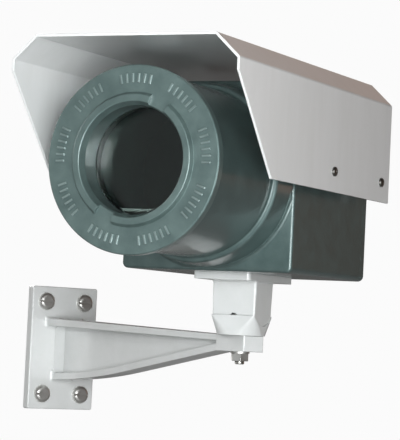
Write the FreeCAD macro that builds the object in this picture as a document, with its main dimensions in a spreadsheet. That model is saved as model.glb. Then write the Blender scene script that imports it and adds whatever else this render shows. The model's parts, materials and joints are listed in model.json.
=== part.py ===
import FreeCAD, Part
import math
import os
import Sketcher

# Outdoor camera housing: a cast box with a round screw-on window cover and a folded
# sunshield, on a pan and tilt head at the end of a cast wall arm.
#
# The origin is the centre of the wall plate's back face. The wall is the plane y = 0,
# the arm stands out along -Y and +Z is up. The housing rests turned to one side.
# Housing pieces are drawn in their own frame: y runs back from the cover's front
# face along the window's axis, x is to the right seen from the front, z is up.

# Driving dimensions in millimetres and degrees
DIMENSIONS = {
    # wall plate, its screws and the arm, heights measured from the plate's centre
    "plate_width": 88.4,
    "plate_height": 143.4,
    "plate_thickness": 10,
    "plate_corner_radius": 2.5,
    "plate_edge_radius": 1.5,
    "wall_screw_spacing_x": 52,
    "wall_screw_spacing_z": 108,
    "wall_screw_radius": 5,
    "wall_screw_hole_gap": 1.2,
    "wall_head_radius": 10.2,
    "wall_head_height": 6,
    "wall_head_round": 4.5,
    "wall_head_slot_width": 2.4,
    "wall_head_slot_depth": 2.6,
    "wall_screw_reach": 15,
    "pan_reach": 366,
    "arm_root_top": 34.4,
    "arm_root_drop": 36.6,
    "boss_top": 25.2,
    "boss_thickness": 16.9,
    "boss_half_width": 12.8,
    "boss_overhang": 23.6,
    "boss_lead": 26,
    "arm_bend_length": 150,
    "arm_bend_rise": 14.7,
    "arm_bend_radius": 1100,
    "top_flange_root_half_width": 23,
    "top_flange_root_thickness": 8,
    "top_flange_end_thickness": 6.2,
    "bottom_flange_half_width": 12.2,
    "bottom_flange_thickness": 7.3,
    "web_thickness": 8,
    "arm_root_fillet": 5,
    "gusset_spread": 12,
    "gusset_reach": 10,
    "gusset_corner": 8,
    "arm_edge_radius": 1.5,
    # pan and tilt head
    "rest_turn": 60,
    "base_floor": 10.3,
    "base_foot_radius": 25,
    "base_foot_flat": 0.2,
    "base_overhang": 0.5,
    "cradle_radius": 30.3,
    "cradle_gap": 0.3,
    "saddle_half_width": 25,
    "saddle_half_depth": 22.5,
    "saddle_corner_radius": 2.5,
    "saddle_draft": 1.5,
    "saddle_rise": 22.8,
    "saddle_floor": 8,
    "saddle_wall": 5,
    "saddle_plate_half_width": 32,
    "saddle_plate_half_depth": 56,
    "saddle_plate_thickness": 7,
    "saddle_plate_corner": 4,
    "saddle_root_fillet": 3,
    "tilt_slot_half_width": 5.3,
    "tilt_slot_half_angle": 39.8,
    "bolt_radius": 5,
    "bolt_fit": 0.1,
    "bolt_head_flats": 16,
    "bolt_head_height": 6.4,
    "bolt_tip": 3.4,
    "bolt_bevel": 1,
    "clamp_nut_flats": 17,
    "clamp_nut_height": 8,
    "clamp_washer_radius": 10,
    "clamp_washer_thickness": 2,
    "cradle_washer_half_width": 11,
    "cradle_washer_half_depth": 9.5,
    "cradle_washer_thickness": 3,
    # small machine screws of the head, the rear cover and the sunshield
    "small_screw_radius": 3,
    "small_head_radius": 5,
    "small_head_height": 6,
    "small_socket_flats": 5,
    "small_socket_depth": 3.2,
    "screw_hole_gap": 0.3,
    "thread_fit": 0.05,
    "drill_extra": 0.5,
    "cut_past": 1,
    "saddle_screw_spacing_x": 42,
    "saddle_screw_spacing_y": 84,
    "saddle_screw_bite": 12,
    "sunk_head_radius": 6,
    "sunk_head_angle": 45,
    "sunk_socket_flats": 4,
    "sunk_socket_depth": 2.2,
    # round screw cover with its window
    "cover_overhang": 5.5,
    "cover_rim_thickness": 10,
    "cover_bevel": 1,
    "ridge_inset": 26,
    "ridge_slope": 2.5,
    "ridge_height": 4,
    "ridge_round": 1.2,
    "ridge_gap_angle": 19,
    "ridge_gap_at": 64,
    "window_lip_slope": 3.2,
    "window_lip_depth": 3.3,
    "glass_seat_depth": 25,
    "glass_lap": 6.2,
    "glass_edge_gap": 2,
    "glass_thickness": 8,
    "window_gasket_thickness": 1,
    "gasket_setback": 0.5,
    "window_ring_thickness": 7,
    "window_ring_step": 1.2,
    "ring_spanner_radius": 2,
    "spigot_wall": 16,
    "spigot_length": 32,
    "cover_seal_thickness": 1.6,
    "cover_seal_width": 5,
    # cast body: the collar, barrel and cover take their radii from the box's height
    "collar_inset": 2.6,
    "collar_flare": 3.5,
    "collar_step": 5.5,
    "barrel_wall": 6.5,
    "barrel_mouth_wall": 8.5,
    "barrel_bore_gap": 0.3,
    "barrel_thread_length": 34,
    "collar_start": 139,
    "collar_bevel": 1.5,
    "collar_root_fillet": 2,
    "pan_axis_setback": 2,
    "box_start": 172,
    "box_end": 360,
    "box_half_width": 94.3,
    "box_half_height": 96.1,
    "box_corner_radius": 6,
    "box_front_edge_radius": 3,
    "box_wall": 10,
    "rear_rim_side": 24.3,
    "rear_rim_height": 26.1,
    "rear_flange_depth": 14,
    "floor_pad_height": 8,
    "floor_pad_margin": 8,
    # rear cover with its cable entries
    "rear_cover_thickness": 14,
    "rear_edge_radius": 5,
    "rear_spigot_depth": 6,
    "rear_spigot_gap": 0.3,
    "rear_spigot_wall": 8,
    "rear_seal_width": 3.5,
    "rear_seal_depth": 2.8,
    "rear_seal_inset": 3.5,
    "rear_screw_inset": 11,
    "rear_screw_length": 20,
    "entry_radius": 12.5,
    "entry_spacing": 70,
    "entry_reach": 2,
    "gland_flats": 32,
    "gland_hex_height": 7,
    "gland_neck_radius": 12,
    "gland_neck_length": 11,
    "gland_bore_radius": 9.5,
    "gland_nut_flats": 30,
    "gland_nut_start": 3,
    "gland_nut_length": 20,
    "gland_nut_wall": 4,
    "gland_mouth_gap": 1,
    "cable_hole_radius": 6,
    "plug_head_radius": 16,
    "plug_head_height": 6,
    "plug_socket_flats": 10,
    "plug_socket_depth": 6,
    "earth_screw_radius": 2.5,
    "earth_head_radius": 4.75,
    "earth_head_height": 3.5,
    "earth_screw_drop": 52,
    "earth_screw_bite": 9,
    # folded sunshield, its spacers and screws
    "shield_side_gap": 24.6,
    "shield_roof_gap": 19.6,
    "shoulder_width": 24.6,
    "shoulder_drop": 23,
    "shield_skirt_drop": 11.8,
    "shield_overhang": 27.7,
    "shield_rear_reach": 9.5,
    "shield_brow_drop": 34.8,
    "shield_skirt_start": 57,
    "shield_thickness": 2.5,
    "shield_fold_radius": 4,
    "shield_screw_height": 8.7,
    "shield_screw_setback": 39.9,
    "shield_screw_rear_gap": 15.3,
    "shield_screw_radius": 2.5,
    "shield_head_radius": 4.75,
    "shield_head_height": 2.8,
    "shield_screw_bite": 8,
    "spacer_radius": 6.5,
    # inner parts on their sled
    "sled_top_drop": 43.4,
    "sled_thickness": 2.6,
    "sled_side_gap": 23,
    "sled_front_gap": 4,
    "sled_rear_gap": 20,
    "sled_corner_radius": 6,
    "camera_slot_half_width": 3.4,
    "camera_slot_start": 90,
    "camera_slot_end": 160,
    "camera_screw_at": 120,
    "camera_screw_radius": 3.1,
    "camera_knob_radius": 9,
    "camera_knob_height": 8,
    "camera_screw_rise": 6,
    "strip_inner_side": 6,
    "strip_width": 12,
    "strip_start": 85,
    "strip_length": 80,
    "strip_thickness": 1.5,
    "post_radius": 5,
    "post_stud_radius": 2,
    "post_stud_length": 6,
    "post_edge": 7,
    "post_front_gap": 28,
    "post_rear_gap": 35,
    "post_screw_radius": 2,
    "post_head_radius": 4,
    "post_head_height": 2.6,
    "post_screw_bite": 8,
    "board_half_width": 40,
    "board_length": 88,
    "board_rear_gap": 50,
    "board_thickness": 1.6,
    "board_corner_radius": 3,
    "board_lift": 16,
    "board_post_radius": 3,
    "board_post_inset": 5,
    "board_screw_radius": 1.5,
    "board_head_radius": 2.8,
    "board_head_height": 2,
    "board_screw_bite": 6,
    "transformer_half_size": 15,
    "transformer_height": 13,
    "terminal_side_gap": 25,
    "terminal_setback": 42,
    "terminal_depth": 18,
    "terminal_height": 16,
    "terminal_count": 6,
    "terminal_hole_radius": 2.2,
    "heater_front_gap": 18,
    "heater_length": 46,
    "heater_post_gap": 2,
    "heater_half_width": 14,
    "heater_height": 14,
    "heater_fin_count": 4,
    "heater_fin_gap": 4,
}

PLANES = {"plan": "XY_Plane", "front": "XZ_Plane", "side": "YZ_Plane"}

# Each drawing plane's own normal points this way along the axis it is measured on
PLANE_SIGN = {"plan": 1, "front": -1, "side": 1}


class Size:
    """A dimension: its number, and the sheet formula that gives it."""

    def __init__(self, number, formula):
        self.number = number
        self.formula = formula

    def __add__(self, other):
        other = as_size(other)
        return Size(self.number + other.number, f"({self.formula} + {other.formula})")

    def __sub__(self, other):
        other = as_size(other)
        return Size(self.number - other.number, f"({self.formula} - {other.formula})")

    def __mul__(self, other):
        other = as_size(other)
        return Size(self.number * other.number, f"({self.formula} * {other.formula})")

    def __truediv__(self, other):
        other = as_size(other)
        return Size(self.number / other.number, f"({self.formula} / {other.formula})")

    def __neg__(self):
        return as_size(0) - self

    def __radd__(self, other):
        return as_size(other) + self

    def __rsub__(self, other):
        return as_size(other) - self

    def __rmul__(self, other):
        return as_size(other) * self


def as_size(value):
    """A plain number as a size, so that it can stand in a formula."""
    if isinstance(value, Size):
        return value
    return Size(value, f"{value}" if value >= 0 else f"(0 - {-value})")


def sine(angle):
    """The sine of an angle in degrees."""
    return Size(math.sin(math.radians(angle.number)), f"sin({angle.formula} * 1 deg)")


def cosine(angle):
    """The cosine of an angle in degrees."""
    return Size(math.cos(math.radians(angle.number)), f"cos({angle.formula} * 1 deg)")


def root(value):
    """The square root."""
    return Size(math.sqrt(value.number), f"sqrt({value.formula})")


class Sheet:
    """The spreadsheet of driving dimensions, with each one as an attribute."""

    def __init__(self, document):
        cells = document.addObject("Spreadsheet::Sheet", "Sizes")
        for row, (name, number) in enumerate(DIMENSIONS.items(), start=1):
            cells.set(f"A{row}", name)
            cells.set(f"B{row}", str(number))
            cells.setAlias(f"B{row}", name)
        document.recompute()
        for name in DIMENSIONS:
            setattr(self, name, Size(float(cells.get(name)), "Sizes." + name))


doc = FreeCAD.newDocument("camera_housing")
d = Sheet(doc)


class Drawing:
    """A sketch on one of a body's own planes, at a distance along that plane's axis.

    Points are (x, y) on the plan, (x, z) on the front and (y, z) on the side. A drawing
    that leans is turned about its first axis instead, through the body's origin.
    """

    def __init__(self, body, plane, at, lean):
        self.plane = plane
        self.sketch = body.newObject("Sketcher::SketchObject", "Drawing")
        for origin_plane in body.Origin.OriginFeatures:
            if origin_plane.Role == PLANES[plane]:
                self.sketch.AttachmentSupport = [(origin_plane, "")]
        self.sketch.MapMode = "FlatFace"
        if lean is None:
            shift = PLANE_SIGN[plane] * as_size(at)
            self.sketch.setExpression("AttachmentOffset.Base.z", shift.formula)
        else:
            self.sketch.AttachmentOffset = FreeCAD.Placement(
                FreeCAD.Vector(0, 0, 0), FreeCAD.Rotation(FreeCAD.Vector(1, 0, 0), lean.number))

    def hold_point(self, piece, end, u, v):
        """Tie one point of a line, arc or circle to its place."""
        for kind, value in (("DistanceX", u), ("DistanceY", v)):
            index = self.sketch.addConstraint(
                Sketcher.Constraint(kind, -1, 1, piece, end, value.number))
            self.sketch.setExpression(f"Constraints[{index}]", value.formula)

    def hold_radius(self, piece, radius):
        """Tie the radius of an arc or circle."""
        index = self.sketch.addConstraint(Sketcher.Constraint("Radius", piece, radius.number))
        self.sketch.setExpression(f"Constraints[{index}]", radius.formula)

    def circle(self, radius, u=0, v=0):
        """A circle about (u, v)."""
        radius, u, v = as_size(radius), as_size(u), as_size(v)
        centre = FreeCAD.Vector(u.number, v.number, 0)
        piece = self.sketch.addGeometry(Part.Circle(centre, FreeCAD.Vector(0, 0, 1), radius.number))
        self.hold_point(piece, 3, u, v)
        self.hold_radius(piece, radius)
        return self

    def outline(self, corners):
        """A closed outline. A corner with a third value starts an arc of that radius.

        A positive radius turns left round its centre and a negative one turns right.
        """
        first = self.sketch.GeometryCount
        places = [(as_size(corner[0]), as_size(corner[1])) for corner in corners]
        points = [FreeCAD.Vector(u.number, v.number, 0) for u, v in places]
        ends = []
        for index, corner in enumerate(corners):
            start = points[index]
            finish = points[(index + 1) % len(points)]
            if len(corner) == 2:
                self.sketch.addGeometry(Part.LineSegment(start, finish))
                ends.append((1, 2))
                continue
            radius = as_size(corner[2])
            chord = finish - start
            rise = math.sqrt(max(radius.number ** 2 - chord.Length ** 2 / 4, 0))
            left = FreeCAD.Vector(-chord.y, chord.x, 0).normalize()
            centre = (start + finish) / 2 + left * math.copysign(rise, radius.number)
            if radius.number < 0:
                start, finish = finish, start
                ends.append((2, 1))
            else:
                ends.append((1, 2))
            circle = Part.Circle(centre, FreeCAD.Vector(0, 0, 1), abs(radius.number))
            angles = [math.atan2(point.y - centre.y, point.x - centre.x) for point in (start, finish)]
            piece = self.sketch.addGeometry(Part.ArcOfCircle(circle, angles[0], angles[1]))
            self.hold_radius(piece, radius if radius.number > 0 else -radius)
        for index, (u, v) in enumerate(places):
            following = (index + 1) % len(places)
            self.sketch.addConstraint(Sketcher.Constraint(
                "Coincident", first + index, ends[index][1], first + following, ends[following][0]))
            self.hold_point(first + index, ends[index][0], u, v)
        return self

    def box(self, left, bottom, right, top):
        """A rectangle from its sides."""
        return self.outline([(left, bottom), (right, bottom), (right, top), (left, top)])

    def rounded_box(self, half_width, half_height, radius, u=0, v=0):
        """A rectangle about (u, v) with round corners."""
        left, right = u - half_width, u + half_width
        bottom, top = v - half_height, v + half_height
        return self.outline([
            (left + radius, bottom), (right - radius, bottom, radius),
            (right, bottom + radius), (right, top - radius, radius),
            (right - radius, top), (left + radius, top, radius),
            (left, top - radius), (left, bottom + radius, radius)])

    def hexagon(self, flats, u=0, v=0):
        """A hexagon across flats, two of them level."""
        half = as_size(flats) / 2
        corner = half * (2 / math.sqrt(3))
        return self.outline([
            (u + corner, v), (u + corner / 2, v + half), (u - corner / 2, v + half),
            (u - corner, v), (u - corner / 2, v - half), (u + corner / 2, v - half)])


class Piece:
    """One named piece: a body built feature by feature, then placed."""

    every = []

    def __init__(self, name):
        self.body = doc.addObject("PartDesign::Body", name)
        self.body.Label = name
        self.body.AllowCompound = True
        self.name = name
        Piece.every.append(self)

    def drawing(self, plane, at=0, lean=None):
        return Drawing(self.body, plane, at, lean)

    def feature(self, kind, drawing):
        made = self.body.newObject("PartDesign::" + kind, kind)
        made.Profile = drawing.sketch
        return made

    def add(self, drawing, length, toward=1, taper=None):
        """Pad a drawing toward the plus or the minus side of its axis."""
        made = self.feature("Pad", drawing)
        made.setExpression("Length", as_size(length).formula)
        made.Reversed = toward * PLANE_SIGN[drawing.plane] < 0
        if taper is not None:
            made.setExpression("TaperAngle", taper.formula)
        return made

    def add_both_ways(self, drawing, length):
        """Pad a drawing half to each side."""
        made = self.feature("Pad", drawing)
        made.setExpression("Length", as_size(length).formula)
        made.SideType = "Symmetric"
        return made

    def cut(self, drawing, length, toward=1, taper=None):
        """Pocket a drawing toward the plus or the minus side of its axis."""
        made = self.feature("Pocket", drawing)
        made.setExpression("Length", as_size(length).formula)
        made.Reversed = toward * PLANE_SIGN[drawing.plane] > 0
        if taper is not None:
            made.setExpression("TaperAngle", taper.formula)
        return made

    def cut_both_ways(self, drawing, length):
        """Pocket a drawing half to each side."""
        made = self.feature("Pocket", drawing)
        made.setExpression("Length", as_size(length).formula)
        made.SideType = "Symmetric"
        return made

    def turn(self, drawing, axis="H_Axis"):
        """Revolve a drawing about its first axis, or about its second."""
        made = self.feature("Revolution", drawing)
        made.ReferenceAxis = (drawing.sketch, [axis])
        made.Angle = 360
        return made

    def turn_cut(self, drawing, angle=None, axis="H_Axis"):
        """Cut a revolved drawing away, all round or by an angle to both sides."""
        made = self.feature("Groove", drawing)
        made.ReferenceAxis = (drawing.sketch, [axis])
        if angle is None:
            made.Angle = 360
        else:
            made.setExpression("Angle", angle.formula)
            made.Midplane = True
        return made

    def loft(self, first, last):
        """Blend one drawing into another."""
        made = self.feature("AdditiveLoft", first)
        made.Sections = [last.sketch]
        made.Ruled = True
        return made

    def dress(self, kind, prop, size, wanted):
        """Round or bevel the edges that the test picks."""
        doc.recompute()
        base = self.body.Tip
        names = [f"Edge{n}" for n, edge in enumerate(base.Shape.Edges, start=1) if wanted(edge)]
        made = self.body.newObject("PartDesign::" + kind, kind)
        made.Base = (base, names)
        made.setExpression(prop, as_size(size).formula)
        return made

    def round_edges(self, size, wanted):
        return self.dress("Fillet", "Radius", size, wanted)

    def bevel_edges(self, size, wanted):
        return self.dress("Chamfer", "Size", size, wanted)

    def place(self, position, turn=0):
        """Set the piece into the part's frame: turned about Z, then moved."""
        self.body.Placement = FreeCAD.Placement(
            position, FreeCAD.Rotation(FreeCAD.Vector(0, 0, 1), turn))


def spots(spacing_u, spacing_v, v=0):
    """The four corners of a rectangle about (0, v), as drawing points."""
    return [(side * spacing_u / 2, v + end * spacing_v / 2) for side in (-1, 1) for end in (-1, 1)]


def add_screws(piece, plane, seat, out, points, shank, head, length, socket=None):
    """Screws whose heads stand on a seat: shank radius, head (radius, height), shank length.

    The heads point to the plus or minus side; socket is (flats, depth).
    """
    heads = piece.drawing(plane, seat)
    for u, v in points:
        heads.circle(head[0], u, v)
    piece.add(heads, head[1], out)
    shanks = piece.drawing(plane, seat)
    for u, v in points:
        shanks.circle(shank, u, v)
    piece.add(shanks, length, -out)
    if socket:
        sockets = piece.drawing(plane, seat + out * head[1])
        for u, v in points:
            sockets.hexagon(socket[0], u, v)
        piece.cut(sockets, socket[1], -out)


def drill(piece, plane, at, toward, points, radius, depth):
    """Round holes of one depth."""
    holes = piece.drawing(plane, at)
    for u, v in points:
        holes.circle(radius, u, v)
    piece.cut(holes, depth, toward)


def level(edge, axis, value):
    """Whether a whole edge lies at one value of x, y or z."""
    box = edge.BoundBox
    low, high = {"x": (box.XMin, box.XMax), "y": (box.YMin, box.YMax), "z": (box.ZMin, box.ZMax)}[axis]
    return abs(low - value) < 0.01 and abs(high - value) < 0.01


def runs_along(edge, axis):
    """Whether an edge is a straight one along x, y or z."""
    if edge.Curve.TypeId != "Part::GeomLine":
        return False
    direction = edge.Curve.Direction
    return abs(abs(getattr(direction, axis)) - 1) < 1e-6


# Derived places that several pieces share
arm_end = d.pan_reach + d.boss_overhang
boss_bottom = d.boss_top - d.boss_thickness
tilt_height = d.boss_top + d.base_floor + d.cradle_radius
saddle_radius = d.cradle_radius - d.cradle_gap
housing_height = tilt_height + d.saddle_rise + d.box_half_height
barrel_start = d.cover_rim_thickness + d.cover_seal_thickness
collar_back_radius = d.box_half_height - d.collar_inset
collar_front_radius = collar_back_radius - d.collar_flare
barrel_radius = collar_front_radius - d.collar_step
relief_radius = barrel_radius - d.barrel_wall
spigot_radius = barrel_radius - d.barrel_mouth_wall
bore_radius = spigot_radius + d.barrel_bore_gap
cover_radius = barrel_radius + d.cover_overhang
ridge_base_radius = cover_radius - d.ridge_inset
window_ring_radius = spigot_radius - d.spigot_wall
glass_radius = window_ring_radius - d.glass_edge_gap
window_radius = glass_radius - d.glass_lap
window_ring_bore = window_radius + d.window_ring_step
spigot_end = d.cover_rim_thickness + d.spigot_length
glass_front = d.glass_seat_depth + d.window_gasket_thickness
glass_back = glass_front + d.glass_thickness
rear_face = d.box_end + d.rear_cover_thickness
pan_axis_depth = (d.box_start + d.box_end) / 2 + d.pan_axis_setback
rear_half_width = d.box_half_width - d.rear_rim_side
rear_half_height = d.box_half_height - d.rear_rim_height
floor_drop = d.box_half_height - d.box_wall
sled_under = -(d.sled_top_drop + d.sled_thickness)
saddle_screws_at = spots(d.saddle_screw_spacing_x, d.saddle_screw_spacing_y)
floor_screws_at = spots(d.saddle_screw_spacing_x, d.saddle_screw_spacing_y, pan_axis_depth)
wall_screws_at = spots(d.wall_screw_spacing_x, d.wall_screw_spacing_z)
rear_screw_x = d.box_half_width - d.rear_screw_inset
rear_screw_z = d.box_half_height - d.rear_screw_inset
rear_screws_at = [
    (across * rear_screw_x, up * rear_screw_z)
    for across in (-1, 0, 1) for up in (-1, 0, 1) if across or up]
sled_start = spigot_end + d.sled_front_gap
sled_end = d.box_end - d.sled_rear_gap
sled_half_width = relief_radius - d.sled_side_gap
post_front = d.box_start + d.post_front_gap
post_rear = d.box_end - d.post_rear_gap
posts_at = spots((sled_half_width - d.post_edge) * 2, post_rear - post_front, (post_rear + post_front) / 2)
board_middle = d.box_end - d.board_rear_gap - d.board_length / 2
board_posts_at = spots(
    (d.board_half_width - d.board_post_inset) * 2,
    d.board_length - 2 * d.board_post_inset, board_middle)
board_under = d.board_lift - floor_drop
seal_rim = d.rear_seal_inset + d.rear_seal_width
gland_neck_start = rear_face + d.gland_hex_height
small_hole = d.small_screw_radius + d.screw_hole_gap
small_tap = d.small_screw_radius + d.thread_fit
entries_at = [(d.entry_spacing / 2, 0), (-d.entry_spacing / 2, 0)]
earth_at = [(0, -d.earth_screw_drop)]
gland_nut_inner = d.gland_nut_start + d.gland_nut_length - d.gland_nut_wall
shield_half_width = d.box_half_width + d.shield_side_gap
shield_top = d.box_half_height + d.shield_roof_gap
shield_screws_at = [
    (d.box_start + d.shield_screw_setback, d.shield_screw_height),
    (d.box_end - d.shield_screw_rear_gap, d.shield_screw_height)]


def wall_bracket():
    """The casting: wall plate, tapering I-section arm and the boss at its end."""
    piece = Piece("wall_bracket")
    plate = piece.drawing("front")
    plate.rounded_box(d.plate_width / 2, d.plate_height / 2, d.plate_corner_radius)
    piece.add(plate, d.plate_thickness, -1)
    face = -d.plate_thickness
    piece.round_edges(d.plate_edge_radius, lambda edge: level(edge, "y", face.number))
    boss_start = d.boss_lead - d.pan_reach
    bend = (face - d.arm_bend_length, d.arm_bend_rise - d.arm_root_drop)
    heel = (face, -d.arm_root_drop, -d.arm_bend_radius)
    knee = (boss_start, boss_bottom)
    # the web fills the side view between the flanges
    web = piece.drawing("side")
    web.outline([
        (-d.plate_thickness / 2, -d.arm_root_drop), heel, bend, knee,
        (boss_start, d.boss_top), (-d.plate_thickness / 2, d.arm_root_top)])
    piece.add_both_ways(web, d.web_thickness)
    # the bottom flange is a band that follows the underside
    lift = d.bottom_flange_thickness
    band = piece.drawing("side")
    band.outline([
        (-d.plate_thickness / 2, -d.arm_root_drop), heel, bend, knee,
        (boss_start, boss_bottom + lift), (bend[0], bend[1] + lift, d.arm_bend_radius),
        (face, lift - d.arm_root_drop),
        (-d.plate_thickness / 2, lift - d.arm_root_drop)])
    piece.add_both_ways(band, d.bottom_flange_half_width * 2)
    # the top flange tapers from the plate to the boss
    root_half = d.top_flange_root_half_width
    flange_root = piece.drawing("front", -d.plate_thickness / 2)
    flange_root.box(-root_half, d.arm_root_top - d.top_flange_root_thickness, root_half, d.arm_root_top)
    flange_end = piece.drawing("front", boss_start)
    flange_end.box(-d.boss_half_width, d.boss_top - d.top_flange_end_thickness,
                   d.boss_half_width, d.boss_top)
    piece.loft(flange_root, flange_end)
    boss = piece.drawing("side")
    boss.box(-arm_end, boss_bottom, boss_start, d.boss_top)
    piece.add_both_ways(boss, d.boss_half_width * 2)
    piece.round_edges(
        d.arm_edge_radius,
        lambda edge: level(edge, "y", -arm_end.number)
        or (level(edge, "z", boss_bottom.number) and edge.BoundBox.YMax < boss_start.number - 1))
    piece.round_edges(
        d.arm_root_fillet,
        lambda edge: level(edge, "y", face.number)
        and abs(edge.BoundBox.Center.z) < d.plate_height.number / 3
        and abs(edge.BoundBox.Center.x) < d.plate_width.number / 3)
    # between the flanges the web spreads into the plate with a slanting facet
    narrow = d.web_thickness / 2
    wide = narrow + d.gusset_spread
    foot = d.bottom_flange_half_width
    crown = d.arm_root_top - d.top_flange_root_thickness / 2
    floor = d.bottom_flange_thickness / 2 - d.arm_root_drop
    bend_up = floor + d.gusset_corner
    gusset_root = piece.drawing("front", -d.plate_thickness / 2)
    gusset_root.outline([
        (-wide, crown), (-wide, bend_up), (-foot, floor), (foot, floor), (wide, bend_up), (wide, crown)])
    gusset_end = piece.drawing("front", face - d.gusset_reach)
    gusset_end.outline([
        (-narrow, crown), (-narrow, bend_up), (-narrow, floor), (narrow, floor), (narrow, bend_up),
        (narrow, crown)])
    piece.loft(gusset_root, gusset_end)
    drill(piece, "plan", d.boss_top, -1, [(0, -d.pan_reach)], d.bolt_radius + d.bolt_fit,
          d.boss_thickness * 2)
    drill(piece, "front", 0, -1, wall_screws_at, d.wall_screw_radius + d.wall_screw_hole_gap,
          d.plate_thickness)
    return piece


def wall_screws():
    """Four slotted dome-headed screws through the wall plate."""
    piece = Piece("wall_screws")
    seat = -d.plate_thickness
    add_screws(piece, "front", seat, -1, wall_screws_at, d.wall_screw_radius,
               (d.wall_head_radius, d.wall_head_height), d.plate_thickness + d.wall_screw_reach)
    front = seat - d.wall_head_height
    piece.round_edges(d.wall_head_round, lambda edge: level(edge, "y", front.number))
    slots = piece.drawing("front", front)
    for x, z in wall_screws_at:
        slots.box(x - d.wall_head_radius, z - d.wall_head_slot_width / 2,
                  x + d.wall_head_radius, z + d.wall_head_slot_width / 2)
    piece.cut(slots, d.wall_head_slot_depth, 1)
    return piece


def swivel_base():
    """The lower half of the head: a round foot blended into a square cradle."""
    piece = Piece("swivel_base")
    half_width = d.saddle_half_width + d.base_overhang
    half_depth = d.saddle_half_depth + d.base_overhang
    rim = d.base_floor + d.cradle_radius - root(
        d.cradle_radius * d.cradle_radius - half_depth * half_depth)
    foot = piece.drawing("plan", 0)
    foot.rounded_box(d.base_foot_radius, d.base_foot_radius, d.base_foot_radius - d.base_foot_flat)
    square = piece.drawing("plan", rim)
    square.rounded_box(half_width, half_depth, d.saddle_corner_radius)
    piece.loft(foot, square)
    cradle = piece.drawing("side")
    cradle.circle(d.cradle_radius, 0, d.base_floor + d.cradle_radius)
    piece.cut_both_ways(cradle, half_width * 4)
    drill(piece, "plan", 0, 1, [(0, 0)], d.bolt_radius + d.bolt_fit, rim)
    return piece


def tilt_saddle():
    """The upper half of the head, drawn about the tilt axis, with its slotted round floor."""
    piece = Piece("tilt_saddle")
    plate_under = d.saddle_rise - d.saddle_plate_thickness
    block = piece.drawing("plan", plate_under)
    block.rounded_box(d.saddle_half_width, d.saddle_half_depth, d.saddle_corner_radius)
    piece.add(block, plate_under + saddle_radius, -1, -d.saddle_draft)
    # everything below the round underside is cut away
    reach = d.saddle_half_depth + d.saddle_wall
    shelf = -root(saddle_radius * saddle_radius - reach * reach)
    below = piece.drawing("side")
    below.outline([
        (-reach, shelf, saddle_radius), (reach, shelf),
        (reach, -2 * saddle_radius), (-reach, -2 * saddle_radius)])
    piece.cut_both_ways(below, d.saddle_half_width * 4)
    plate = piece.drawing("plan", plate_under)
    plate.rounded_box(d.saddle_plate_half_width, d.saddle_plate_half_depth, d.saddle_plate_corner)
    piece.add(plate, d.saddle_plate_thickness, 1)
    piece.round_edges(
        d.saddle_root_fillet,
        lambda edge: level(edge, "z", plate_under.number)
        and max(abs(edge.BoundBox.XMin), abs(edge.BoundBox.XMax)) < d.saddle_half_width.number + 1
        and max(abs(edge.BoundBox.YMin), abs(edge.BoundBox.YMax)) < d.saddle_half_depth.number + 1)
    # inner chamber with a floor that runs round the tilt axis
    inner_radius = saddle_radius - d.saddle_floor
    inner_depth = d.saddle_half_depth - d.saddle_wall
    wall_foot = -root(inner_radius * inner_radius - inner_depth * inner_depth)
    chamber = piece.drawing("side")
    chamber.outline([
        (-inner_depth, wall_foot, inner_radius), (inner_depth, wall_foot),
        (inner_depth, d.saddle_rise), (-inner_depth, d.saddle_rise)])
    piece.cut_both_ways(chamber, (d.saddle_half_width - d.saddle_wall) * 2)
    # the bolt's slot sweeps round the tilt axis and ends in round holes
    slot = piece.drawing("front")
    slot.box(-d.tilt_slot_half_width, -d.cradle_radius, d.tilt_slot_half_width,
             d.cradle_gap - inner_radius)
    piece.turn_cut(slot, d.tilt_slot_half_angle * 2)
    for side in (-1, 1):
        end = piece.drawing("plan", 0, side * d.tilt_slot_half_angle)
        end.circle(d.tilt_slot_half_width)
        piece.cut(end, d.cradle_radius, -1)
    drill(piece, "plan", plate_under, 1, saddle_screws_at, small_hole, d.saddle_plate_thickness)
    mouth = d.sunk_head_radius + d.screw_hole_gap
    sinks = piece.drawing("plan", plate_under)
    for x, y in saddle_screws_at:
        sinks.circle(mouth, x, y)
    piece.cut(sinks, mouth - small_hole, 1, -d.sunk_head_angle)
    return piece


def clamp_bolt():
    """The hexagon bolt that holds the whole head, drawn about the tilt axis."""
    piece = Piece("clamp_bolt")
    seat = d.cradle_washer_thickness + d.saddle_floor + d.cradle_gap - saddle_radius
    tip = -(d.base_floor + d.cradle_radius + d.boss_thickness
            + d.clamp_washer_thickness + d.clamp_nut_height + d.bolt_tip)
    head = piece.drawing("plan", seat)
    head.hexagon(d.bolt_head_flats)
    piece.add(head, d.bolt_head_height, 1)
    shank = piece.drawing("plan", seat)
    shank.circle(d.bolt_radius)
    piece.add(shank, seat - tip, -1)
    piece.bevel_edges(d.bolt_bevel, lambda edge: level(edge, "z", tip.number))
    return piece


def cradle_washer():
    """The washer inside the saddle: flat for the bolt head, round to slide on the floor."""
    piece = Piece("cradle_washer")
    top = d.cradle_washer_thickness + d.saddle_floor + d.cradle_gap - saddle_radius
    sole_radius = saddle_radius - d.saddle_floor - d.cradle_gap
    half = d.cradle_washer_half_depth
    heel = -root(sole_radius * sole_radius - half * half)
    section = piece.drawing("side")
    section.outline([(-half, heel, sole_radius), (half, heel), (half, top), (-half, top)])
    piece.add_both_ways(section, d.cradle_washer_half_width * 2)
    drill(piece, "plan", top, -1, [(0, 0)], d.bolt_radius + d.bolt_fit, d.saddle_floor)
    return piece


def clamp_washer():
    """The flat washer under the arm's boss, measured from the boss top."""
    piece = Piece("clamp_washer")
    ring = piece.drawing("plan", -d.boss_thickness)
    ring.circle(d.clamp_washer_radius)
    ring.circle(d.bolt_radius + d.bolt_fit)
    piece.add(ring, d.clamp_washer_thickness, -1)
    return piece


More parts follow.
